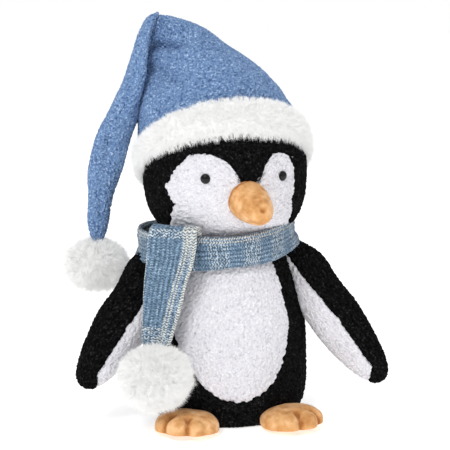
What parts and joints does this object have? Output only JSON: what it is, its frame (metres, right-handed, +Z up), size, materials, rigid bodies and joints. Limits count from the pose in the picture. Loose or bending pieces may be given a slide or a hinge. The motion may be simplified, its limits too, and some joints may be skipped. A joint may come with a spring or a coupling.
{
  "type": "plush penguin",
  "caption": "Standing plush penguin with a fur-cuffed stocking cap, a woven scarf with a pompom, liftable flippers and three-toed feet",
  "frame": {"origin": "centre of the flat sewn base disc, on the surface the penguin stands on", "axes": "+Z up, the belly faces -Y, and the penguin's own left is +X"},
  "size_m": [0.322, 0.217, 0.3969],
  "materials": {
    "black_plush": "matte",
    "white_plush": "matte",
    "blue_plush": "matte",
    "orange_velour": "matte",
    "white_fur": "matte",
    "woven_scarf": "matte",
    "polyester_fill": "matte",
    "pellet_bag": "matte",
    "pellets": "satin",
    "eye_plastic": "gloss",
    "washer_plastic": "satin",
    "thread": "matte",
    "white_thread": "matte",
    "orange_thread": "matte"
  },
  "bodies": {
    "torso": {"body_shell": "black_plush", "belly_panel": "white_plush", "base_panel": "black_plush", "body_stuffing": "polyester_fill", "weight_bag": "pellet_bag", "weight_pellets": "pellets", "neck_stitching": "thread", "scarf_loop": "woven_scarf"},
    "head": {"head_shell": "black_plush", "face_panel": "white_plush", "head_stuffing": "polyester_fill", "left_eye": "eye_plastic", "right_eye": "eye_plastic", "left_eye_washer": "washer_plastic", "right_eye_washer": "washer_plastic", "beak_skin": "orange_velour", "beak_stuffing": "polyester_fill", "hat_crown": "blue_plush", "hat_cuff": "white_fur", "hat_stuffing": "polyester_fill"},
    "left_flipper": {"left_flipper_outer": "black_plush", "left_flipper_inner": "white_plush", "left_flipper_stuffing": "polyester_fill"},
    "right_flipper": {"right_flipper_outer": "black_plush", "right_flipper_inner": "white_plush", "right_flipper_stuffing": "polyester_fill"},
    "left_foot": {"left_foot_upper": "orange_velour", "left_foot_sole": "orange_velour", "left_foot_stuffing": "polyester_fill", "left_toe_stitches": "orange_thread"},
    "right_foot": {"right_foot_upper": "orange_velour", "right_foot_sole": "orange_velour", "right_foot_stuffing": "polyester_fill", "right_toe_stitches": "orange_thread"},
    "cap_tail": {"hat_tail": "blue_plush"},
    "cap_pompom": {"hat_pompom_fur": "white_fur", "hat_pompom_filling": "polyester_fill", "hat_pompom_tie": "white_thread"},
    "scarf_end": {"scarf_tail": "woven_scarf"},
    "scarf_ball": {"scarf_pompom_fur": "white_fur", "scarf_pompom_filling": "polyester_fill", "scarf_pompom_tie": "white_thread"}
  },
  "joints": [
    {"name": "neck_turn", "type": "hinge", "parent": "torso", "child": "head", "pos_m": [0, 0, 0.178], "axis": [0, 0, 1], "range_deg": [-15, 4], "stiffness_Nm_per_rad": 1.2},
    {"name": "left_flipper_lift", "type": "hinge", "parent": "torso", "child": "left_flipper", "pos_m": [0.0783, -0.013, 0.148], "axis": [-0.4805, -0.877, 0], "range_deg": [-3, 60], "stiffness_Nm_per_rad": 0.6},
    {"name": "right_flipper_lift", "type": "hinge", "parent": "torso", "child": "right_flipper", "pos_m": [-0.0783, -0.013, 0.148], "axis": [-0.4805, 0.877, 0], "range_deg": [-3, 60], "stiffness_Nm_per_rad": 0.6},
    {"name": "left_foot_flex", "type": "hinge", "parent": "torso", "child": "left_foot", "pos_m": [0.04354, -0.06783, 0.019], "axis": [-0.8415, -0.5402, 0], "range_deg": [0, 25], "stiffness_Nm_per_rad": 0.3},
    {"name": "right_foot_flex", "type": "hinge", "parent": "torso", "child": "right_foot", "pos_m": [-0.04354, -0.06783, 0.019], "axis": [-0.8415, 0.5402, 0], "range_deg": [0, 10], "stiffness_Nm_per_rad": 0.3},
    {"name": "cap_tail_swing", "type": "hinge", "parent": "head", "child": "cap_tail", "pos_m": [-0.077, 0.026, 0.39], "axis": [0, 1, 0], "range_deg": [0, 60]},
    {"name": "cap_pompom_swing", "type": "hinge", "parent": "cap_tail", "child": "cap_pompom", "pos_m": [-0.1246, 0.03, 0.1775], "axis": [0, 1, 0], "range_deg": [-20, 35]},
    {"name": "scarf_lift", "type": "hinge", "parent": "torso", "child": "scarf_end", "pos_m": [-0.062, -0.0685, 0.19], "axis": [-0.9063, 0.4226, 0], "range_deg": [0, 60]},
    {"name": "scarf_pompom_swing", "type": "hinge", "parent": "scarf_end", "child": "scarf_ball", "pos_m": [-0.0735, -0.067, 0.086], "axis": [-0.9063, 0.4226, 0], "range_deg": [0, 35]}
  ]
}
